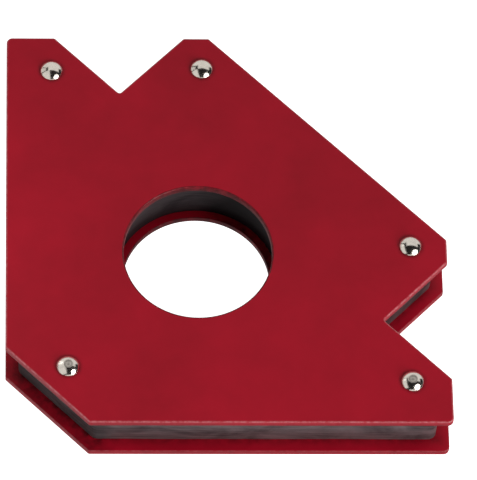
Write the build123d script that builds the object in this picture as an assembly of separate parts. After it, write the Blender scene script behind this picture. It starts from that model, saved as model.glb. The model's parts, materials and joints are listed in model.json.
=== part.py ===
from build123d import *
import os

# Arrow-shaped magnetic welding holder: two pressed steel plates riveted over a core of ferrite
# blocks. Plan dimensions run from the square corner that the outline's left and bottom edges
# would make if it weren't cut off. place() then moves each piece to the row's origin, which is
# the axis of the large hole at mid-thickness. +Z points out of the front plate.
# The plan is mirror-symmetric about the 45 degree line through that corner.

# outline and plates, millimetres
leg = 110.0               # length of the left and bottom edges, to the foot ends
corner_cut = 20.6         # what the cut corner takes off each of them
foot_width = 12.2         # flat end of each foot
notch_depth = 16.4        # depth of the two 90 degree notches, and half their mouth
tip_width = 6.4           # flat end of each tip
foot_corner_radius = 1.5
corner_radius = 0.7
plate_thickness = 2.0
edge_round = 0.4          # rounded rim of the pressed plates
hole_inset = 47.8         # axis of the large hole, from the left and bottom edges
hole_radius = 18.5
core_height = 13.5        # gap between the plates, and height of everything in it

# strip and tube that close the gap
band_inset = 3.3          # outside of the folded strip, from the plates' edges
band_thickness = 1.0
band_bend_radius = 1.6    # bends, at the middle of the strip's thickness
band_seam = 0.5           # butt joint, halfway along the slanted edge
liner_setback = 2.0       # how much wider than the plates' hole the liner's bore is
liner_thickness = 1.0

# rivets and their spacer sleeves
foot_rivet = (11.4, 100.2)
tip_rivet = (49.5, 100.9)
corner_rivet = (15.4, 15.4)
shank_radius = 1.6
rivet_clearance = 0.1     # shank to plate, and shank to sleeve
head_radius = 2.85
head_height = 1.65
set_head_height = 1.45    # the head that was set has its dome pressed flat at this height
sleeve_radius = 2.6

# ferrite blocks
magnet_gap = 0.7          # from the strip's inside, and from block to block
leg_magnet = (20.0, 30.0)          # across and along the left and bottom edges
leg_magnet_start = 26.0            # first block's end, from the square corner
side_magnet = (24.0, 16.0)         # block above the hole, and its twin right of it
side_magnet_start = (26.0, 70.0)
slant_magnet = (19.0, 18.2)        # two blocks behind the slanted edge, across and along it

# worked out from those
face_height = core_height / 2 + plate_thickness
tip_start = foot_width + 2 * notch_depth
slant_middle = (leg + tip_start + tip_width) / 2
magnet_inset = band_inset + band_thickness + magnet_gap
rivet_hole_radius = shank_radius + rivet_clearance
same_point = 0.01


def place(piece, z=0.0):
    """Move a piece from its plan position to the row's origin, z up from mid-thickness."""
    return Pos(-hole_inset, -hole_inset, z) * piece


def mirrored(point):
    """The point's twin across the 45 degree line."""
    return (point[1], point[0])


def outline_corners():
    """Corners of the outline, anticlockwise from the lower end of the cut corner."""
    half = [
        (corner_cut, 0),
        (leg, 0),
        (leg, foot_width),
        (leg - notch_depth, foot_width + notch_depth),
        (leg, tip_start),
        (leg, tip_start + tip_width),
    ]
    return half + [mirrored(point) for point in reversed(half)]


def outline_face():
    return make_face(Polyline(*outline_corners(), close=True))


def rounded(face, points, radius):
    """The face with its corners at the given points rounded."""
    def is_named(corner):
        return any((Vector(corner) - Vector(*point)).length < same_point for point in points)
    return fillet([corner for corner in face.vertices() if is_named(corner)], radius)


def block(width, depth, height):
    """Box standing on z = 0 with its lower left corner at the origin."""
    return Box(width, depth, height, align=Align.MIN)


def post(radius, height):
    """Cylinder centred on the origin."""
    return Cylinder(radius, height)


def pressed_plate(rivet_points):
    """Plate centred on z = 0, rims rounded on both faces, rivet holes left sharp."""
    foot_ends = [(leg, 0), (0, leg)]
    others = [point for point in outline_corners() if point not in foot_ends]
    plan = rounded(rounded(outline_face(), foot_ends, foot_corner_radius), others, corner_radius)
    plan -= Pos(hole_inset, hole_inset) * Circle(hole_radius)
    plate = Pos(0, 0, -plate_thickness / 2) * extrude(plan, plate_thickness)
    rims = plate.faces().sort_by(Axis.Z)[0].edges() + plate.faces().sort_by(Axis.Z)[-1].edges()
    plate = fillet(rims, edge_round)
    for point in rivet_points:
        plate -= Pos(*point) * post(rivet_hole_radius, plate_thickness)
    return plate


def folded_strip():
    """Strip bent to the outline, set in from it, with its two ends butted at the slanted edge."""
    middle = offset(outline_face(), -(band_inset + band_thickness / 2), kind=Kind.INTERSECTION)
    middle = fillet(middle.vertices(), band_bend_radius)
    plan = offset(middle, band_thickness / 2) - offset(middle, -band_thickness / 2)
    strip = Pos(0, 0, -core_height / 2) * extrude(plan, core_height)
    cut_length = 4 * (band_inset + band_thickness)
    seam = Pos(slant_middle, slant_middle) * Rot(0, 0, 45) * Box(cut_length, band_seam, core_height)
    return strip - seam


def tube(outer_radius, inner_radius):
    """Tube as high as the core, centred on the origin."""
    return post(outer_radius, core_height) - post(inner_radius, core_height)


def head(is_set):
    """Domed head standing on z = 0."""
    arc = TangentArc((0, head_height), (head_radius, 0), tangent=(1, 0))
    profile = make_face(arc + Polyline((head_radius, 0), (0, 0), (0, head_height)))
    dome = revolve(Plane.XZ * profile, Axis.Z)
    return split(dome, Plane.XY.offset(set_head_height), keep=Keep.BOTTOM) if is_set else dome


def rivet(set_in_front):
    """Rivet through the whole stack, with a head on each outer face, one of them the set head."""
    front = Pos(0, 0, face_height) * head(set_in_front)
    rear = Pos(0, 0, -face_height) * Rot(180, 0, 0) * head(not set_in_front)
    return post(shank_radius, 2 * face_height) + front + rear


def magnets():
    """Ferrite blocks by name, standing on z = 0."""
    across, along = leg_magnet
    side_width, side_depth = side_magnet
    slant_across, slant_along = slant_magnet
    second_start = leg_magnet_start + along + magnet_gap
    upright = block(across, along, core_height)
    flat = block(along, across, core_height)
    slant = block(slant_across, slant_along, core_height)
    slant_inner = 2 ** 0.5 * slant_middle - magnet_inset - slant_across
    turn = Rot(0, 0, 45)
    return {
        "left_lower": Pos(magnet_inset, leg_magnet_start) * upright,
        "left_upper": Pos(magnet_inset, second_start) * upright,
        "bottom_inner": Pos(leg_magnet_start, magnet_inset) * flat,
        "bottom_outer": Pos(second_start, magnet_inset) * flat,
        "top": Pos(*side_magnet_start) * block(side_width, side_depth, core_height),
        "right": Pos(*mirrored(side_magnet_start)) * block(side_depth, side_width, core_height),
        "slant_upper": turn * Pos(slant_inner, magnet_gap / 2) * slant,
        "slant_lower": turn * Pos(slant_inner, -magnet_gap / 2 - slant_along) * slant,
    }


rivet_points = {
    "left_foot": foot_rivet,
    "top_tip": tip_rivet,
    "right_tip": mirrored(tip_rivet),
    "right_foot": mirrored(foot_rivet),
    "corner": corner_rivet,
}
set_in_front = ("right_foot", "corner")
hole_axis = Pos(hole_inset, hole_inset)
plate = pressed_plate(rivet_points.values())
plate_middle = (core_height + plate_thickness) / 2

pieces = {
    "front_plate": place(plate, plate_middle),
    "rear_plate": place(plate, -plate_middle),
    "edge_band": place(folded_strip()),
}
liner_bore = hole_radius + liner_setback
pieces["hole_liner"] = place(hole_axis * tube(liner_bore + liner_thickness, liner_bore))
for name, magnet in magnets().items():
    pieces["magnet_" + name] = place(magnet, -core_height / 2)
for name, point in rivet_points.items():
    pieces["sleeve_" + name] = place(Pos(*point) * tube(sleeve_radius, rivet_hole_radius))
    pieces["rivet_" + name] = place(Pos(*point) * rivet(name in set_in_front))

os.makedirs("parts", exist_ok=True)
for name, piece in pieces.items():
    piece.label = name
    export_step(piece, f"parts/{name}.step")
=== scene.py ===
import json
import math
import bpy
import numpy as np
from mathutils import Matrix, Vector


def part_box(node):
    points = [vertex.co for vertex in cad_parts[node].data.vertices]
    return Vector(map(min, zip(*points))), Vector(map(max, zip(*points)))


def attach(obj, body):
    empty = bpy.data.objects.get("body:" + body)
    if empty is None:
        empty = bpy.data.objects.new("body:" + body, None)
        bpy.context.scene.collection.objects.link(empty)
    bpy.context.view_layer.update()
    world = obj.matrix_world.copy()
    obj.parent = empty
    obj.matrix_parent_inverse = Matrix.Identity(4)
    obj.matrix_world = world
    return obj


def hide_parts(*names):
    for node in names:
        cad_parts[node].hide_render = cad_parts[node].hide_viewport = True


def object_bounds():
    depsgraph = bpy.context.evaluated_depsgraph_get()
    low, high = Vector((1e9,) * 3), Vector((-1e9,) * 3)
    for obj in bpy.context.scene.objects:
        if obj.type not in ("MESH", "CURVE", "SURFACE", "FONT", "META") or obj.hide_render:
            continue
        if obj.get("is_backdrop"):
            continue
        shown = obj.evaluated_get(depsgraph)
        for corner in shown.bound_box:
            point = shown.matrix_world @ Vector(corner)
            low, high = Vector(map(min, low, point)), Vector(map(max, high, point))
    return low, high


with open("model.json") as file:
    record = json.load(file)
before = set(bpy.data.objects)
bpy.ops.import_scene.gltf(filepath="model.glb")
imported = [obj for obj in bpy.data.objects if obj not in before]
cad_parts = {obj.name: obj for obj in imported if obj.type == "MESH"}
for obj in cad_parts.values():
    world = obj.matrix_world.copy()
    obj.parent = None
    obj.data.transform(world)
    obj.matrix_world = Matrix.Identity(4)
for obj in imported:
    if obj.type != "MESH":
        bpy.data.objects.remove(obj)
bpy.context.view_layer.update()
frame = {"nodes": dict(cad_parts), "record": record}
scene = bpy.context.scene
scene.view_settings.view_transform = "Standard"
mm = 0.001
print("frame loaded,", len(frame["nodes"]), "CAD nodes")


# ---- camera

cameraView = {
    "azimuth": 4.89,           # degrees the view is turned to the right of +Y
    "elevation": 60.54,        # degrees above the plates
    "roll": 4.44,              # degrees anticlockwise
    "distance": 1.3275,
    "lens": 399.4,
    "aimBesideMiddle": (2.97 * mm, -3.86 * mm),   # from the middle of the object's box
}


def placeCamera(view, low, high):
    turn, rise = math.radians(view["azimuth"]), math.radians(view["elevation"])
    ahead = Vector((math.sin(turn) * math.cos(rise), math.cos(turn) * math.cos(rise), -math.sin(rise)))
    aim = (low + high) / 2 + Vector((*view["aimBesideMiddle"], 0))
    aim.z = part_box("front_plate")[1].z
    camera = bpy.data.objects.new("camera", bpy.data.cameras.new("camera"))
    camera.data.lens = view["lens"]
    camera.data.clip_end = 10
    level = ahead.to_track_quat("-Z", "Y").to_matrix()
    rolled = level @ Matrix.Rotation(math.radians(view["roll"]), 3, "Z")
    camera.matrix_world = Matrix.LocRotScale(aim - ahead * view["distance"], rolled.to_quaternion(), None)
    scene.collection.objects.link(camera)
    scene.camera = camera


placeCamera(cameraView, *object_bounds())
print("camera placed")


# ---- shader building

class Wire:
    # a shader socket to calculate with: each operator adds its Math node

    def __init__(self, nodes, socket):
        self.nodes, self.socket = nodes, socket

    def calc(self, operation, first, second=None):
        made = self.nodes.new("ShaderNodeMath")
        made.operation = operation
        for place, value in enumerate((first, second)):
            if isinstance(value, Wire):
                made.id_data.links.new(value.socket, made.inputs[place])
            elif value is not None:
                made.inputs[place].default_value = value
        return Wire(self.nodes, made.outputs[0])

    def __add__(self, other): return self.calc("ADD", self, other)
    def __radd__(self, other): return self.calc("ADD", other, self)
    def __sub__(self, other): return self.calc("SUBTRACT", self, other)
    def __rsub__(self, other): return self.calc("SUBTRACT", other, self)
    def __mul__(self, other): return self.calc("MULTIPLY", self, other)
    def __rmul__(self, other): return self.calc("MULTIPLY", other, self)
    def __truediv__(self, other): return self.calc("DIVIDE", self, other)
    def __rtruediv__(self, other): return self.calc("DIVIDE", other, self)
    def __abs__(self): return self.calc("ABSOLUTE", self)


class Finish:
    # one material under construction

    def __init__(self, name, **constants):
        self.material = bpy.data.materials.new(name)
        self.material.use_nodes = True
        self.nodes = self.material.node_tree.nodes
        self.nodes.clear()
        self.shader = self.node("ShaderNodeBsdfPrincipled", {}, constants)
        self.node("ShaderNodeOutputMaterial", {}, {"Surface": self.shader.outputs[0]})

    def node(self, kind, settings, inputs):
        # settings come first, because they decide which sockets the node has
        made = self.nodes.new(kind)
        for name, value in settings.items():
            if name == "stops":
                ramp = made.color_ramp.elements
                while len(ramp) < len(value):
                    ramp.new(1.0)
                for stop, (position, grey) in zip(ramp, value):
                    stop.position = position
                    stop.color = (grey, grey, grey, 1)
            else:
                setattr(made, name, value)
        for place, value in inputs.items():
            socket = value.socket if isinstance(value, Wire) else value
            if isinstance(socket, bpy.types.NodeSocket):
                self.material.node_tree.links.new(socket, made.inputs[place])
            else:
                made.inputs[place].default_value = socket
        return made

    def wire(self, kind, settings, inputs, output=0):
        return Wire(self.nodes, self.node(kind, settings, inputs).outputs[output])

    def objectPlace(self):
        return self.wire("ShaderNodeTexCoord", {}, {}, "Object")

    def surfacePlace(self):
        return self.wire("ShaderNodeTexCoord", {}, {}, "UV")

    def painted(self, name):
        return self.wire("ShaderNodeAttribute", {"attribute_name": name}, {}, "Fac")

    def stretched(self, place, scale, turn=0.0):
        return self.wire("ShaderNodeMapping", {}, {
            "Vector": place, "Scale": scale, "Rotation": (0, 0, turn)})

    def noise(self, place, scale, detail, roughness, distortion=0.0):
        return self.wire("ShaderNodeTexNoise", {}, {
            "Vector": place, "Scale": scale, "Detail": detail,
            "Roughness": roughness, "Distortion": distortion})

    def cells(self, place, scale):
        return self.wire("ShaderNodeTexVoronoi", {"feature": "F1"}, {"Vector": place, "Scale": scale})

    def ramp(self, value, *stops):
        return self.wire("ShaderNodeValToRGB", {"stops": stops}, {"Fac": value})

    def blend(self, factor, first, second):
        return self.wire("ShaderNodeMix", {"data_type": "RGBA"}, {0: factor, 6: first, 7: second}, 2)

    def bump(self, height, distance):
        return self.wire("ShaderNodeBump", {}, {"Height": height, "Distance": distance, "Strength": 1.0})

    def feed(self, **sockets):
        for name, value in sockets.items():
            self.material.node_tree.links.new(value.socket, self.shader.inputs[name.replace("_", " ")])
        return self.material


def rgb(red, green, blue):
    return (red, green, blue, 1)


# ---- finishes

rivetNames = ("left_foot", "top_tip", "right_tip", "right_foot", "corner")

powderLook = {
    "paint": rgb(0.520, 0.0043, 0.0238),
    "deeper": rgb(0.405, 0.0028, 0.0172),
    "thinPowderAndHighlight": rgb(0.690, 0.240, 0.270),      # painted highlight along the rims, partly thin powder where it draws back from a rim
    "thinPowderAndHighlightShare": 0.80,                     # how much of that colour shows at most
    "roughness": 0.40,
    "specular": 0.18,
    "rimRoughness": 0.15,                  # powder flows out smoother over a rim
    "shadeAndGrime": rgb(0.060, 0.0015, 0.0040),   # painted shade, partly grime: along the strip, at the cut corner, round the hole and round each rivet head
    "headShadeAndGrime": 0.75,                     # its share there, and how far out it reaches
    "headShadeAndGrimeReach": 1.1 * mm,
    "peelSize": 0.9 * mm,
    "peelHeight": 0.006 * mm,
}


def headShade(finish, place, reach):
    # painted shade, partly grime, that falls from one at the edge of each rivet head to nothing at the
    # reach, by the square
    shade = 0
    for name in rivetNames:
        low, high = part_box("rivet_" + name)
        middle = ((low.x + high.x) / 2, (low.y + high.y) / 2, 0)
        flat = finish.wire("ShaderNodeVectorMath", {"operation": "MULTIPLY"}, {0: place, 1: (1, 1, 0)})
        away = finish.wire("ShaderNodeVectorMath", {"operation": "DISTANCE"}, {0: flat, 1: middle}, 1)
        near = finish.ramp((away - (high.x - low.x) / 2) / reach, (0, 1), (1, 0))
        shade = near * near + shade
    return shade


def powderCoat(look):
    finish = Finish("redPowderCoat", **{
        "Specular IOR Level": look["specular"], "Coat Roughness": look["rimRoughness"]})
    place = finish.objectPlace()
    clouds = finish.noise(place, 55, 4, 0.6)
    patches = finish.noise(place, 17, 2, 0.5, 0.4)
    peel = finish.noise(place, 1 / look["peelSize"], 2, 0.45)
    grain = finish.noise(place, 5200, 1, 0.5)
    rim = finish.painted("rim")
    tone = finish.ramp(clouds * 0.65 + patches * 0.35, (0.36, 0), (0.66, 1))
    colour = finish.blend(tone, look["deeper"], look["paint"])
    smudge = finish.ramp(finish.noise(place, 420, 3, 0.6), (0.25, 0.35), (0.62, 1))
    # painted shade, partly grime: darker near the strip, the cut corner, the hole and the rivet heads
    shadeAndGrime = finish.painted("tucked") + headShade(finish, place, look["headShadeAndGrimeReach"]) * look["headShadeAndGrime"]
    colour = finish.blend(shadeAndGrime * smudge, colour, look["shadeAndGrime"])
    # painted highlight along the rims' ridges, partly thin powder that draws back there
    drawnBackAndHighlight = rim * finish.ramp(finish.noise(place, 900, 3, 0.6), (0.38, 0.30), (0.62, 1))
    colour = finish.blend(drawnBackAndHighlight * look["thinPowderAndHighlightShare"], colour, look["thinPowderAndHighlight"])
    # hairline rubs: two stretched noises, each kept only near its middle value
    rubOne = finish.noise(finish.stretched(place, (30, 2600, 1), 0.6), 1, 2, 0.5)
    rubTwo = finish.noise(finish.stretched(place, (2200, 24, 1), -0.35), 1, 2, 0.5)
    sparse = finish.ramp(finish.noise(place, 70, 2, 0.5), (0.55, 0), (0.68, 1))
    rubs = sparse * (finish.ramp(abs(rubOne - 0.5), (0.004, 1), (0.012, 0))
                     + finish.ramp(abs(rubTwo - 0.5), (0.004, 1), (0.010, 0)))
    nibs = finish.ramp(finish.cells(place, 210), (0.035, 1), (0.075, 0))
    roughness = look["roughness"] + (patches - 0.5) * 0.18 + (clouds - 0.5) * 0.10 + rubs * 0.10
    height = peel * 0.7 + grain * 0.12 + nibs * 0.9 - rubs * 0.15
    return finish.feed(Base_Color=colour, Roughness=roughness, Coat_Weight=rim,
                       Normal=finish.bump(height, look["peelHeight"]))


blackenedLook = {
    "dark": rgb(0.078, 0.068, 0.074),
    "rubbed": rgb(0.350, 0.315, 0.330),
    "rust": rgb(0.080, 0.036, 0.026),
    "rustShare": 0.35,
    "soot": rgb(0.006, 0.004, 0.005),      # painted shade: black and matt, so it takes the metal's shine away
    "paintedShadeShare": 0.95,
    "metallic": 0.70,
    "specular": 0.10,
    "roughness": 0.44,
    "lineHeight": 0.010 * mm,
}

linerLook = {
    **blackenedLook,
    "dark": rgb(0.040, 0.031, 0.036),
    "rubbed": rgb(0.115, 0.092, 0.100),
    "specular": 0.05,
}


def blackenedSteel(look, name):
    # rolled strip: streaks run along it, smears of handling cross them
    finish = Finish(name, **{"Specular IOR Level": look["specular"]})
    along = finish.surfacePlace()
    streaks = finish.noise(finish.stretched(along, (70, 2600, 1)), 1, 4, 0.62)
    fineLines = finish.noise(finish.stretched(along, (240, 9000, 1)), 1, 3, 0.6)
    smears = finish.noise(finish.stretched(along, (62, 110, 1)), 1, 5, 0.62, 0.9)
    stains = finish.noise(finish.stretched(along, (38, 60, 1), 0.4), 1, 3, 0.6, 0.3)
    edge = finish.painted("rim")
    rubbed = finish.ramp(streaks * 0.45 + smears * 0.55, (0.40, 0), (0.66, 1))
    colour = finish.blend(rubbed, look["dark"], look["rubbed"])
    rust = finish.ramp(stains, (0.60, 0), (0.74, 1)) * look["rustShare"]
    colour = finish.blend(rust, colour, look["rust"])
    colour = finish.blend(edge * 0.5, colour, look["rubbed"])
    # painted shade: dark along the cut corner, and in the hole on its right side and towards its rear end
    soot = finish.painted("soot")
    colour = finish.blend(soot * look["paintedShadeShare"], colour, look["soot"])
    roughness = look["roughness"] - rubbed * 0.10 + (fineLines - 0.5) * 0.20
    height = streaks * 0.6 + fineLines * 0.4
    return finish.feed(Base_Color=colour, Roughness=roughness, Metallic=look["metallic"] * (1 - soot),
                       Normal=finish.bump(height, look["lineHeight"]))


nickelLook = {
    "bright": rgb(0.95, 0.90, 0.82),
    "dull": rgb(0.16, 0.148, 0.132),       # where the head was struck
    "roughness": 0.11,
    "pitDepth": 0.006 * mm,
}


def nickelPlate(look):
    finish = Finish("nickelPlate", Metallic=1.0)
    place = finish.objectPlace()
    struck = finish.painted("struck")
    pits = finish.noise(place, 2600, 4, 0.6)
    haze = finish.noise(place, 620, 3, 0.55, 0.5)
    strokes = finish.noise(finish.stretched(place, (5200, 700, 1400), 0.5), 1, 3, 0.6)
    scuffs = finish.ramp(abs(strokes - 0.5), (0.006, 1), (0.020, 0))
    tarnish = finish.ramp(haze, (0.50, 0), (0.78, 1)) * 0.25 + struck * (0.80 + (pits - 0.5) * 0.6)
    colour = finish.blend(tarnish, look["bright"], look["dull"])
    roughness = look["roughness"] + haze * 0.07 + scuffs * 0.06 + struck * 0.28
    height = pits * (0.15 + struck * 1.2) + scuffs * -0.25
    return finish.feed(Base_Color=colour, Roughness=roughness,
                       Normal=finish.bump(height, look["pitDepth"]))


ferriteLook = {
    "body": rgb(0.030, 0.030, 0.033),
    "dust": rgb(0.105, 0.098, 0.095),
    "roughness": 0.70,
    "chipDepth": 0.03 * mm,
}


def sinteredFerrite(look):
    finish = Finish("sinteredFerrite")
    place = finish.objectPlace()
    grain = finish.noise(place, 1900, 5, 0.7)
    ground = finish.noise(finish.stretched(place, (120, 5200, 300), 0.3), 1, 3, 0.6)
    dust = finish.ramp(finish.noise(place, 130, 4, 0.6), (0.48, 0), (0.72, 1))
    chips = finish.ramp(finish.cells(place, 480), (0.10, 1), (0.16, 0))
    colour = finish.blend(dust * 0.6 + (grain - 0.5) * 0.3, look["body"], look["dust"])
    roughness = look["roughness"] + dust * 0.15 - ground * 0.12
    height = grain * 0.5 + ground * 0.3 - chips * 0.8
    return finish.feed(Base_Color=colour, Roughness=roughness,
                       Normal=finish.bump(height, look["chipDepth"]))


sleeveLook = {
    "steel": rgb(0.50, 0.49, 0.48),
    "oil": rgb(0.24, 0.21, 0.17),
    "roughness": 0.30,
    "lineHeight": 0.01 * mm,
}


def drawnTube(look):
    finish = Finish("drawnTube", Metallic=1.0)
    place = finish.objectPlace()
    drawn = finish.noise(finish.stretched(place, (3600, 3600, 90)), 1, 4, 0.6)
    oil = finish.ramp(finish.noise(place, 420, 3, 0.55, 0.4), (0.45, 0), (0.72, 1))
    colour = finish.blend(oil * 0.5 + (drawn - 0.5) * 0.5, look["steel"], look["oil"])
    roughness = look["roughness"] + drawn * 0.20 - oil * 0.08
    return finish.feed(Base_Color=colour, Roughness=roughness,
                       Normal=finish.bump(drawn, look["lineHeight"]))


redPowderCoat = powderCoat(powderLook)
bandSteel = blackenedSteel(blackenedLook, "blackenedStrip")
linerSteel = blackenedSteel(linerLook, "blackenedTube")
nickel = nickelPlate(nickelLook)
ferrite = sinteredFerrite(ferriteLook)
sleeveSteel = drawnTube(sleeveLook)
print("finishes made")


# ---- surfaces on grids

def gridFaces(rows, columns, wrapRows, wrapColumns):
    # corner indices of the grid's quads, counted past the edge where the grid wraps
    row, column = np.meshgrid(np.arange(rows - (not wrapRows)), np.arange(columns - (not wrapColumns)),
                              indexing="ij")
    cornerRow = np.stack([row, row + 1, row + 1, row], -1).reshape(-1, 4)
    cornerColumn = np.stack([column, column, column + 1, column + 1], -1).reshape(-1, 4)
    return cornerRow, cornerColumn


def enclosedVolume(points, faces):
    # a sixth of the sum of the triple products of each triangle's corners
    a, b, c = points[faces[:, 0]], points[faces[:, 1]], points[faces[:, 2]]
    return np.einsum("ij,ij->i", a, np.cross(b, c)).sum() / 6


def meshPiece(name, points, faceGroups, faceUvs, values):
    # faceGroups are arrays of faces with the same number of corners, faceUvs their corners' places.
    # Each face is fanned into triangles from its first corner, to see which way the faces point.
    triangles = np.vstack([group[:, [0, k, k + 1]]
                           for group in faceGroups for k in range(1, group.shape[1] - 1)])
    if enclosedVolume(points, triangles) < 0:
        faceGroups = [group[:, ::-1] for group in faceGroups]
        faceUvs = [uv[:, ::-1] for uv in faceUvs]
    mesh = bpy.data.meshes.new(name)
    mesh.from_pydata(points.tolist(), [], [face for group in faceGroups for face in group.tolist()])
    mesh.polygons.foreach_set("use_smooth", np.ones(len(mesh.polygons), bool))
    layer = mesh.uv_layers.new(name="surface")
    layer.data.foreach_set("uv", np.concatenate([uv.reshape(-1) for uv in faceUvs]).astype(np.float32))
    for attribute, numbers in values.items():
        made = mesh.attributes.new(attribute, "FLOAT", "POINT")
        made.data.foreach_set("value", numbers.astype(np.float32))
    mesh.update()
    piece = bpy.data.objects.new(name, mesh)
    scene.collection.objects.link(piece)
    return piece


def evenShading(piece):
    # broad faces keep their own normals beside the narrow ones of a rim
    piece.modifiers.new("evenShading", "WEIGHTED_NORMAL").keep_sharp = True


def finishPiece(piece, material, slotName, *nodes):
    piece.data.materials.append(material)
    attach(piece, "root")
    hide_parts(*nodes)
    print("made", piece.name, len(piece.data.polygons), "faces")


def roundedLoop(corners, radii, spacing, arcSteps):
    # straight runs joined by arcs. An arc is its centre plus its radius along a normal that
    # turns evenly from the run before to the run after. Returns the points and outward normals.
    ahead = np.roll(corners, -1, 0) - corners
    runs = np.hypot(*ahead.T)
    ahead = ahead / runs[:, None]
    behind = np.roll(ahead, 1, 0)
    turn = np.arctan2(behind[:, 0] * ahead[:, 1] - behind[:, 1] * ahead[:, 0], (behind * ahead).sum(1))
    cutBack = radii * np.tan(np.abs(turn) / 2)
    side = np.sign(turn) * radii
    facing = np.arctan2(-behind[:, 0], behind[:, 1])
    points, normals = [], []
    share = np.linspace(0, 1, arcSteps + 1)
    for k, corner in enumerate(corners):
        angle = facing[k] + turn[k] * share
        normal = np.stack([np.cos(angle), np.sin(angle)], 1)
        centre = corner - behind[k] * cutBack[k] - side[k] * normal[0]
        after = (k + 1) % len(corners)
        start = centre + side[k] * normal[-1]
        straight = runs[k] - cutBack[k] - cutBack[after]
        inner = np.linspace(0, 1, max(2, math.ceil(straight / spacing)) + 1)[1:-1, None]
        points += [centre + side[k] * normal, start + ahead[k] * straight * inner]
        normals += [normal, np.repeat(normal[-1:], len(inner), 0)]
    return np.vstack(points), np.vstack(normals)


def lengthAlong(points):
    # distance from the first point, one number more than the points, for the way back to it
    steps = np.linalg.norm(np.roll(points, -1, 0) - points, axis=1)
    return np.concatenate([[0], np.cumsum(steps)])


# ---- outline of the plates

outlineShape = {
    "cornerCut": 20.6 * mm,
    "footWidth": 12.2 * mm,
    "notchDepth": 16.4 * mm,
    "tipWidth": 6.4 * mm,
    "footCornerRadius": 1.5 * mm,
    "cornerRadius": 0.7 * mm,
}


def arrowCorners(shape):
    # one half, anticlockwise from the cut corner, and its mirror image across the 45 degree line
    low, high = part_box("front_plate")
    leg = high.x - low.x
    foot, notch = shape["footWidth"], shape["notchDepth"]
    half = np.array([
        (shape["cornerCut"], 0),
        (leg, 0),
        (leg, foot),
        (leg - notch, foot + notch),
        (leg, foot + 2 * notch),
        (leg, foot + 2 * notch + shape["tipWidth"]),
    ])
    return np.vstack([half, half[::-1, ::-1]]) + (low.x, low.y)


def insetCorners(corners, distance):
    # each corner moves in along the sum of its two outward normals, so both runs move by distance
    ahead = np.roll(corners, -1, 0) - corners
    ahead = ahead / np.hypot(*ahead.T)[:, None]
    after = np.stack([ahead[:, 1], -ahead[:, 0]], 1)
    before = np.roll(after, 1, 0)
    return corners - distance * (before + after) / (1 + (before * after).sum(1))[:, None]


holeRadius = next(m for m in frame["record"]["mounts"] if m["name"] == "central_hole")["dims"]["r_mm"] * mm


# ---- pressed plates

plateShape = {
    "outerRoll": (0.46 * mm, 0.42 * mm),   # rim of the outer face: inwards, and down the side
    "innerRoll": (0.24 * mm, 0.22 * mm),
    "innerWearAndHighlight": 0.45,                     # how much pale colour the inner rim has, beside the outer: wear and painted highlight
    "sideWearAndHighlight": 0.08,                      # how much pale colour the plate's side has, beside the rim's ridge: wear and painted highlight
    "holeWearAndHighlight": 0.15,                      # how much pale colour the hole's rims have, beside the outline's: wear and painted highlight
    "rimSteps": 7,
    "support": (0.52 * mm, 0.63 * mm),     # rings beside the rim that keep the face flat
    "pointSpacing": 1.1 * mm,
    "arcSteps": 7,
    "faceRings": 27,
    "dishDepth": 0.05 * mm,                # sheet drawn in around each rivet
    "dishReach": 4.2 * mm,
    "bow": 0.045 * mm,                     # first of the sheet's waves, from trough to crest
    "waves": ((38, 17, 1), (-23, 61, 0.6), (97, 88, 0.3)),   # radians a metre in x and y, share
    "shadeAndGrimeFrom": (0.3 * mm, 3.3 * mm),     # painted shade and grime on the inner face grow from here in, to here
    "shadeAndGrimeShare": 0.75,
    "shadeAndGrimePower": 1.7,
    "holeReach": 0.7,                      # how fast it grows in from the hole, beside the outline
    "sideDarkening": 0.55,                     # how much darker the outline's inner rim is
    "holeShade": 0.92,                     # share of painted shade on the hole's side
    "cutShade": (5 * mm, 0.60),            # reach and share of painted shade along the cut corner
}


def sheetWaviness(shape, x, y, seed):
    # the pressed sheet's long shallow waves, a sum of sines that each run their own way, and the
    # round hollows at the rivets, which fall off as a bell curve
    starts = np.random.default_rng(seed).uniform(0, 2 * math.pi, 3)
    waves = sum(share * np.sin(x * overX + y * overY + start)
                for (overX, overY, share), start in zip(shape["waves"], starts))
    hollow = np.zeros_like(x)
    for name in rivetNames:
        low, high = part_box("rivet_" + name)
        away = np.hypot(x - (low.x + high.x) / 2, y - (low.y + high.y) / 2)
        hollow += np.exp(-(away / shape["dishReach"]) ** 2)
    return shape["bow"] / 2 * waves, -shape["dishDepth"] * hollow


def insideOutline(corners, x, y):
    # distance in from the nearest side of the outline: how far along each side the foot of the
    # perpendicular lies, held between the side's ends
    point = np.stack([x, y], -1)[..., None, :]
    side = np.roll(corners, -1, 0) - corners
    share = np.clip(((point - corners) * side).sum(-1) / (side * side).sum(1), 0, 1)
    return np.linalg.norm(point - corners - share[..., None] * side, axis=-1).min(-1)


def fromCut(corners, x, y):
    # distance in from the line through the first and last corners, the cut corner's two ends
    return (x + y - corners[0].sum()) / math.sqrt(2)


fullShadowAt = 0.6       # cosine of the angle from +X, seen from the hole's axis


def holeShadow(x, y):
    # painted shadow round the hole's right side: grows with that cosine, from nothing on the hole's left
    # half to one at the value above
    return np.clip(x / np.maximum(np.hypot(x, y), mm) / fullShadowAt, 0, 1)


def innerShadeAndGrime(shape, corners, x, y):
    # painted shade, partly grime: a power of the distance in from the nearest edge, plus painted
    # shade along the cut corner and round the hole's right half, both falling off as a square root
    fromHole = np.hypot(x, y) - holeRadius
    start, end = shape["shadeAndGrimeFrom"]
    inside = np.minimum(insideOutline(corners, x, y), fromHole * shape["holeReach"])
    cutReach, cutShare = shape["cutShade"]
    tucked = (shape["shadeAndGrimeShare"] * np.clip((inside - start) / (end - start), 0, 1) ** shape["shadeAndGrimePower"]
              + cutShare * np.clip(1 - fromCut(corners, x, y) / cutReach, 0, 1) ** 0.5
              + holeShadow(x, y) * np.clip(1 - fromHole / end, 0, 1) ** 0.5)
    return np.clip(tucked, 0, 1)


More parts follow.
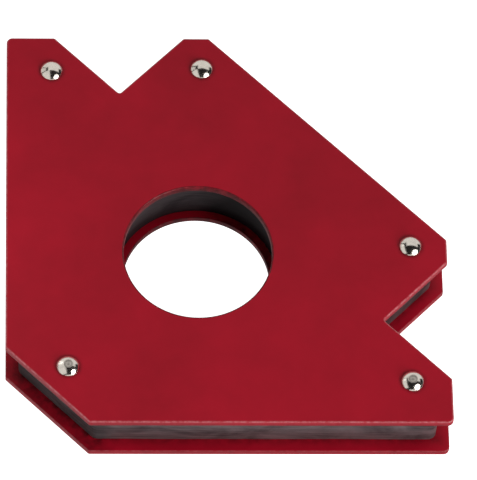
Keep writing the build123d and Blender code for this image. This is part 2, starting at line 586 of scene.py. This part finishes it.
def rimProfile(shape, outerZ, innerZ):
    # quarter arcs at both faces. Columns: distance in from the edge, height, wear with painted
    # highlight, and closeness to the inner rim
    down = math.copysign(1, innerZ - outerZ)
    angle = np.linspace(0, math.pi / 2, shape["rimSteps"] + 1)
    quarters = []
    for (reach, depth), z, into, wear, inner in (
            (shape["outerRoll"], outerZ, down, 1, 0),
            (shape["innerRoll"], innerZ, -down, shape["innerWearAndHighlight"], 1)):
        # pale rim colour: painted highlight on the ridge, partly wear
        worn = wear * (shape["sideWearAndHighlight"] * np.sin(angle) + (1 - shape["sideWearAndHighlight"]) * np.sin(2 * angle))
        arc = np.stack([reach * (1 - np.sin(angle)), z + into * depth * (1 - np.cos(angle)), worn,
                        inner * np.sin(angle)], 1)
        support = [(distance, z, 0, 0) for distance in sorted(shape["support"], reverse=True)]
        quarters.append(np.vstack([support, arc]))
    return np.vstack([quarters[0], quarters[1][::-1]])


def plateSurface(name, outerZ, innerZ, seed):
    # a closed surface of two parameters: round the outline, and round the section from the
    # outline's rim over the inner face, the hole's rim and the outer face back to the outline
    shape = plateShape
    corners = arrowCorners(outlineShape)
    radii = np.full(len(corners), outlineShape["cornerRadius"])
    radii[[1, len(corners) - 2]] = outlineShape["footCornerRadius"]
    outline, normals = roundedLoop(corners, radii, shape["pointSpacing"], shape["arcSteps"])
    toOutline = outline / np.linalg.norm(outline, axis=1)[:, None]
    rim = rimProfile(shape, outerZ, innerZ)
    inset, height, share, nearInner = rim.T
    outer = outline[:, None] - normals[:, None] * inset[:, None]
    hole = toOutline[:, None] * (holeRadius + inset[::-1, None])
    blend = (np.arange(shape["faceRings"]) + 1) / (shape["faceRings"] + 1)
    across = blend[:, None]
    innerFace = outer[:, -1:] * (1 - across) + hole[:, :1] * across
    outerFace = hole[:, -1:] * (1 - across) + outer[:, :1] * across
    flat = np.concatenate([outer, innerFace, hole, outerFace], 1)
    level = np.ones(len(blend))
    z = np.concatenate([height, innerZ * level, height[::-1], outerZ * level])
    # pale rim colour: wear and painted highlight
    wear = np.concatenate([share, 0 * level, share[::-1] * shape["holeWearAndHighlight"], 0 * level])
    # darker at the outline's inner rim, and painted shade on the hole's side
    sideDarkening = np.concatenate([shape["sideDarkening"] * nearInner, 0 * level,
                                shape["holeShade"] * (share[::-1] > 0), 0 * level])
    x, y = flat[..., 0], flat[..., 1]
    wavy, hollow = sheetWaviness(shape, x, y, seed)
    grid = np.dstack([flat, z + wavy + hollow * math.copysign(1, outerZ)])
    rows, columns = grid.shape[:2]
    cornerRow, cornerColumn = gridFaces(rows, columns, True, True)
    faces = cornerRow % rows * columns + cornerColumn % columns
    around, over = lengthAlong(outline), lengthAlong(grid[0])
    uv = np.stack([around[cornerRow], over[cornerColumn]], -1)
    onInner = np.abs(z - innerZ) < shape["bow"]
    # painted shade, partly grime, on the inner face, the outline's inner rim and the hole's side
    tucked = innerShadeAndGrime(shape, corners, x, y) * onInner + sideDarkening
    piece = meshPiece(name, grid.reshape(-1, 3), [faces], [uv], {
        "rim": np.tile(wear, rows), "tucked": tucked.reshape(-1)})
    evenShading(piece)
    return piece


frontLow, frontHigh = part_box("front_plate")
rearLow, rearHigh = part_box("rear_plate")
frontPlate = plateSurface("frontPlate", frontHigh.z, frontLow.z, 4)
finishPiece(frontPlate, redPowderCoat, "red_powder_coat", "front_plate")
rearPlate = plateSurface("rearPlate", rearLow.z, rearHigh.z, 9)
finishPiece(rearPlate, redPowderCoat, "red_powder_coat", "rear_plate")


# ---- strip and liner that close the gap

stripShape = {
    "inset": 3.3 * mm,
    "thickness": 1.0 * mm,
    "bendRadius": 1.6 * mm,
    "bendSteps": 8,
    "seam": 0.5 * mm,
    "edgeRadius": 0.16 * mm,
    "edgeSteps": 4,
    "heightSteps": 9,
    "pointSpacing": 1.3 * mm,
    "bulge": 0.05 * mm,
    "bulgeWaves": (170, 61, 0.7),    # radians a metre of its two sines, and the second's start
    "cutPaintedShade": 0.7,            # share of painted shade along the cut corner, and how fast it thins past there
    "cutPaintedShadeReach": 2.5 * mm,
}

linerShape = {
    "aroundSteps": 180,
    "outOfRound": 0.04 * mm,
    "depthPaintedShade": 0.75,         # share of painted shade at the rear end
}


def stripSection(thickness, low, high, edgeRadius):
    # rectangle with rounded edges. Columns: outwards from the middle of the strip, height
    half = thickness / 2
    corners = np.array([(-half, low), (half, low), (half, high), (-half, high)])
    spacing = (high - low) / stripShape["heightSteps"]
    return roundedLoop(corners, np.full(4, edgeRadius), spacing, stripShape["edgeSteps"])[0]


def carryAlong(name, path, normals, section, closed, bulge, paintedShadeAt):
    # the section carried along the path: its first number runs along the normal, its second is height
    across = section[:, 0][None, :, None] + bulge[:, None, None]
    flat = path[:, None] + normals[:, None] * across
    height = np.broadcast_to(section[:, 1][None, :, None], (*flat.shape[:2], 1))
    grid = np.concatenate([flat, height], 2)
    rows, columns = grid.shape[:2]
    cornerRow, cornerColumn = gridFaces(rows, columns, closed, True)
    faces = [cornerRow % rows * columns + cornerColumn % columns]
    along, over = lengthAlong(path), lengthAlong(section)
    uvs = [np.stack([along[cornerRow], over[cornerColumn]], -1)]
    if not closed:
        ring = np.arange(columns)
        faces.append(np.stack([ring[::-1], ring + (rows - 1) * columns]))
        uvs.append(np.stack([section[::-1], section]))
    # wear fades from one at the section's two ends to nothing at the edge radius in from them
    fromMiddle = section[:, 1] - section[:, 1].mean()
    fromEnd = fromMiddle.max() - np.abs(fromMiddle)
    worn = np.clip(1 - fromEnd / stripShape["edgeRadius"], 0, 1)
    # painted shade, kept as an attribute of the points
    soot = paintedShadeAt(*np.moveaxis(grid, 2, 0))
    piece = meshPiece(name, grid.reshape(-1, 3), faces, uvs, {
        "rim": np.tile(worn, rows), "soot": soot.reshape(-1)})
    evenShading(piece)
    return piece


def edgeStrip():
    # the section carried along the outline set inwards, its bends rounded. It bulges by the
    # product of two sines of the length along it.
    shape = stripShape
    low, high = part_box("edge_band")
    middle = insetCorners(arrowCorners(outlineShape), shape["inset"] + shape["thickness"] / 2)
    radii = np.full(len(middle), shape["bendRadius"])
    path, normals = roundedLoop(middle, radii, shape["pointSpacing"], shape["bendSteps"])
    # start at the butt joint, where the slanted run crosses the 45 degree line
    start = np.argmin(np.abs(path[:, 0] - path[:, 1]) - path.sum(1))
    path, normals = np.roll(path, -start, 0), np.roll(normals, -start, 0)
    run = np.array((1, -1)) / math.sqrt(2)
    path = np.vstack([path[:1] - run * shape["seam"] / 2, path[1:], path[:1] + run * shape["seam"] / 2])
    normals = np.vstack([normals, normals[:1]])
    section = stripSection(shape["thickness"], low.z, high.z, shape["edgeRadius"])
    along = lengthAlong(path)[:-1]
    quick, slow, start = shape["bulgeWaves"]
    bulge = shape["bulge"] * np.sin(along * quick) * np.sin(along * slow + start)

    def paintedShadeAt(x, y, z):
        # painted shade along the cut corner: full up to half the reach past the strip's outside, nothing
        # from one and a half on
        past = fromCut(arrowCorners(outlineShape), x, y) - shape["inset"]
        return shape["cutPaintedShade"] * np.clip(1.5 - past / shape["cutPaintedShadeReach"], 0, 1)

    return carryAlong("edgeStrip", path, normals, section, False, bulge, paintedShadeAt)


def holeLiner():
    # the section carried round a circle that is out of round by a sine of three times the angle
    low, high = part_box("hole_liner")
    thickness = stripShape["thickness"]
    angle = np.linspace(0, 2 * math.pi, linerShape["aroundSteps"] + 1)[:-1]
    normals = np.stack([np.cos(angle), np.sin(angle)], 1)
    radius = high.x - thickness / 2 + linerShape["outOfRound"] * np.sin(3 * angle + 0.4)
    section = stripSection(thickness, low.z, high.z, stripShape["edgeRadius"])

    def paintedShadeAt(x, y, z):
        # painted shadow on the hole's right half, and painted shade growing towards the rear end
        depth = (high.z - z) / (high.z - low.z)
        return np.clip(holeShadow(x, y) + linerShape["depthPaintedShade"] * depth, 0, 1)

    return carryAlong("holeLiner", normals * radius[:, None], normals, section, True, 0 * angle, paintedShadeAt)


finishPiece(edgeStrip(), bandSteel, "blackened_steel", "edge_band")
finishPiece(holeLiner(), linerSteel, "blackened_steel", "hole_liner")


# ---- rivets

rivetShape = {
    "shankRadius": 1.6 * mm,
    "seat": 0.05 * mm,          # how deep the head's edge sits in the paint
    "lip": 0.12 * mm,           # upright edge of the head
    "drawnLip": 0.4,            # share of the lip's height that draws in towards the paint
    "drawnIn": 0.03 * mm,
    "aroundSteps": 72,
    "domeRings": 20,
    # a head that was set: how gently its dome turns flat, the punch's groove (radius, width,
    # depth), its dark ring (share of the flat's radius, width) and dot, and the rest's tarnish
    "pressSoftness": 0.02 * mm,
    "punchGroove": (0.5 * mm, 0.16 * mm, 0.06 * mm),
    "darkRing": (0.85, 0.14 * mm),
    "darkDot": 0.2 * mm,
    "flatTarnish": 0.65,
    "lean": 0.05 * mm,          # how far off its axis a head's top may sit, in x and in y
    "unevenness": (0.006, 0.004),   # share of its radius by which a head is oval, and five-lobed
}


def headProfile(shape, radius, dome, height):
    # circular arc from the middle out to the lip, pressed flat where the head is lower than its
    # dome. Columns: distance from the axis, height over the plate, share of the pressed flat
    rise = dome - shape["lip"]
    ball = (radius ** 2 + rise ** 2) / (2 * rise)
    reach = math.asin(radius / ball)
    angle = np.linspace(0, 1, shape["domeRings"] + 1)[1:] * reach
    away = ball * np.sin(angle)
    z = ball * np.cos(angle) - ball + dome
    pressed = 0 * z
    if height < dome:
        # a soft minimum of the dome and the flat, less a groove with the section of a bell curve
        soft = shape["pressSoftness"]
        grooveRadius, grooveWidth, grooveDepth = shape["punchGroove"]
        pressed = 1 / (1 + np.exp((height - z) / soft))
        z = -soft * np.log(np.exp(-z / soft) + np.exp(-height / soft))
        z = z - grooveDepth * np.exp(-((away - grooveRadius) / grooveWidth) ** 2)
        ringShare, ringWidth = shape["darkRing"]
        flatRadius = np.interp(0.5, pressed[::-1], away[::-1])
        marks = (np.exp(-((away - ringShare * flatRadius) / ringWidth) ** 2)
                 + np.exp(-(away / shape["darkDot"]) ** 2))
        pressed = pressed * (shape["flatTarnish"] + (1 - shape["flatTarnish"]) * marks)
    edge = [(radius, shape["drawnLip"] * shape["lip"], 0), (radius - shape["drawnIn"], -shape["seat"], 0)]
    return np.vstack([np.stack([away, z, pressed], 1), edge])


def rivetSurface(name, seed):
    # turned about its axis: angle round it, and place along the profile from pole to pole
    shape = rivetShape
    low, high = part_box("rivet_" + name)
    middle, radius = (low + high) / 2, (high.x - low.x) / 2
    heights = (high.z - frontHigh.z, rearLow.z - low.z)
    dome = max(heights)
    front, rear = (headProfile(shape, radius, dome, height) for height in heights)
    shank = [(shape["shankRadius"], -shape["seat"], 0)]
    front = np.vstack([front, shank])
    rear = np.vstack([rear, shank])
    chance = np.random.default_rng(seed)
    leanFront, leanRear = chance.uniform(-1, 1, (2, 2)) * shape["lean"]
    angle = np.linspace(0, 2 * math.pi, shape["aroundSteps"] + 1)[:-1]
    oval, lobed = shape["unevenness"]
    uneven = 1 + oval * np.sin(2 * angle + chance.uniform(0, 6)) + lobed * np.sin(5 * angle)

    def headGrid(profile, seat, up, lean):
        # out from the axis by the profile's distance times the unevenness, leaning with height
        away, z, _ = profile.T
        shift = np.clip(z / dome, 0, 1)[None]
        x = np.cos(angle)[:, None] * away * uneven[:, None] + lean[0] * shift
        y = np.sin(angle)[:, None] * away * uneven[:, None] + lean[1] * shift
        return np.dstack([x + middle.x, y + middle.y, np.broadcast_to(seat + up * z, x.shape)])

    grid = np.concatenate([headGrid(front, frontHigh.z, 1, leanFront),
                           headGrid(rear, rearLow.z, -1, leanRear)[:, ::-1]], 1)
    flat = np.concatenate([front[:, 2], rear[::-1, 2]])
    rows, columns = grid.shape[:2]
    cornerRow, cornerColumn = gridFaces(rows, columns, True, False)
    quads = cornerRow % rows * columns + cornerColumn
    poles = np.array([grid[:, 0].mean(0), grid[:, -1].mean(0)])
    ring = np.arange(rows)
    first, last = rows * columns, rows * columns + 1
    fans = np.vstack([
        np.stack([np.roll(ring, -1) * columns, ring * columns, np.full(rows, first)], 1),
        np.stack([ring * columns + columns - 1, np.roll(ring, -1) * columns + columns - 1,
                  np.full(rows, last)], 1)])
    over = np.concatenate([[0], np.cumsum(np.linalg.norm(np.diff(grid[0], axis=0), axis=1))])
    uv = np.stack([cornerRow * radius / rows, over[cornerColumn]], -1)
    struck = np.concatenate([np.tile(flat, rows), [flat[0], flat[-1]]])
    points = np.vstack([grid.reshape(-1, 3), poles])
    return meshPiece("rivet_" + name + "_plated", points, [quads, fans],
                     [uv, np.zeros((*fans.shape, 2))], {"struck": struck})


for seed, name in enumerate(rivetNames):
    finishPiece(rivetSurface(name, seed), nickel, "plated_rivet", "rivet_" + name)


# ---- pieces carried over from the CAD

for name, node in frame["nodes"].items():
    material = {"magnet": ferrite, "sleeve": sleeveSteel}.get(name.split("_")[0])
    if material:
        for place in node.material_slots:
            place.material = material
print("core pieces finished")


# ---- floor and light

studio = {
    "floorLight": 0.95,
    "floorColour": rgb(0.90, 0.90, 0.90),
    "bounceColour": rgb(0.85, 0.85, 0.85),
    "bounceLight": 0.38,
    "floorHalf": 6.0,
    "world": rgb(0.012, 0.011, 0.011),
}

# name: outline, where its middle stands (azimuth from +X anticlockwise, elevation, distance), the
# way its back faces (azimuth, elevation), width, height, brightness, colour
softboxes = {
    "keyLowerRight": ("ELLIPSE", (-43, 25, 0.50), (-43, 25), 0.37, 0.32, 4.45, (1.0, 0.985, 0.96)),
    "wallBehind": ("RECTANGLE", (74.3, 25.7, 0.922), (90, 0), 2.25, 0.80, 0.64, (1.0, 0.98, 0.95)),
    "canopy": ("RECTANGLE", (40.9, 48.4, 0.936), (90, 90), 1.76, 0.58, 0.64, (1.0, 0.98, 0.95)),
    "cardLeft": ("RECTANGLE", (208, 20.1, 0.151), (180, 57), 0.25, 0.155, 0.64, (1.0, 0.98, 0.955)),
    "cardFarLeft": ("RECTANGLE", (150, 17, 0.28), (150, 0), 0.10, 0.19, 0.60, (1.0, 0.98, 0.955)),
    "lowFront": ("RECTANGLE", (-80, 9, 0.8), (-80, 9), 0.9, 0.24, 0.75, (1.0, 0.97, 0.94)),
}


def addFloor(look):
    # the floor that the camera sees glows white and lights nothing. A second one, which the camera
    # doesn't see, throws a weaker light back on the object.
    seen = Finish("paleFloor", Roughness=0.9, **{
        "Base Color": look["floorColour"], "Emission Color": rgb(1, 1, 1),
        "Emission Strength": look["floorLight"], "Specular IOR Level": 0.1})
    bounce = Finish("bounceFloor", Roughness=0.9, **{
        "Base Color": look["bounceColour"], "Specular IOR Level": 0.1,
        "Emission Color": rgb(1, 1, 1), "Emission Strength": look["bounceLight"]})
    half = look["floorHalf"]
    corners = [(-half, -half, 0), (half, -half, 0), (half, half, 0), (-half, half, 0)]
    for name, finish in (("floor", seen), ("floorBounce", bounce)):
        mesh = bpy.data.meshes.new(name)
        mesh.from_pydata(corners, [], [(0, 1, 2, 3)])
        mesh.materials.append(finish.material)
        floor = bpy.data.objects.new(name, mesh)
        floor.location.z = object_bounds()[0].z
        isSeen = finish is seen
        floor.visible_camera = isSeen
        floor.visible_diffuse = floor.visible_glossy = not isSeen
        floor.visible_shadow = isSeen
        scene.collection.objects.link(floor)
        floor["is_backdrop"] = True


def direction(azimuth, elevation):
    turn, rise = math.radians(azimuth), math.radians(elevation)
    return Vector((math.cos(turn) * math.cos(rise), math.sin(turn) * math.cos(rise), math.sin(rise)))


def addSoftboxes(boxes, aim):
    # a box's power is its brightness times pi times its width times its height
    for name, (outline, standing, facing, width, height, brightness, colour) in boxes.items():
        lamp = bpy.data.lights.new(name, "AREA")
        lamp.shape = outline
        lamp.size, lamp.size_y = width, height
        lamp.energy, lamp.color = brightness * math.pi * width * height, colour
        holder = bpy.data.objects.new(name, lamp)
        holder.location = aim + direction(*standing[:2]) * standing[2]
        holder.rotation_euler = direction(*facing).to_track_quat("Z", "Y").to_euler()
        holder.visible_camera = False
        scene.collection.objects.link(holder)


world = bpy.data.worlds.new("studio")
world.use_nodes = True
world.node_tree.nodes["Background"].inputs["Color"].default_value = studio["world"]
scene.world = world
addFloor(studio)
addSoftboxes(softboxes, Vector((0, 0, frontHigh.z)))
print("floor and lights placed")
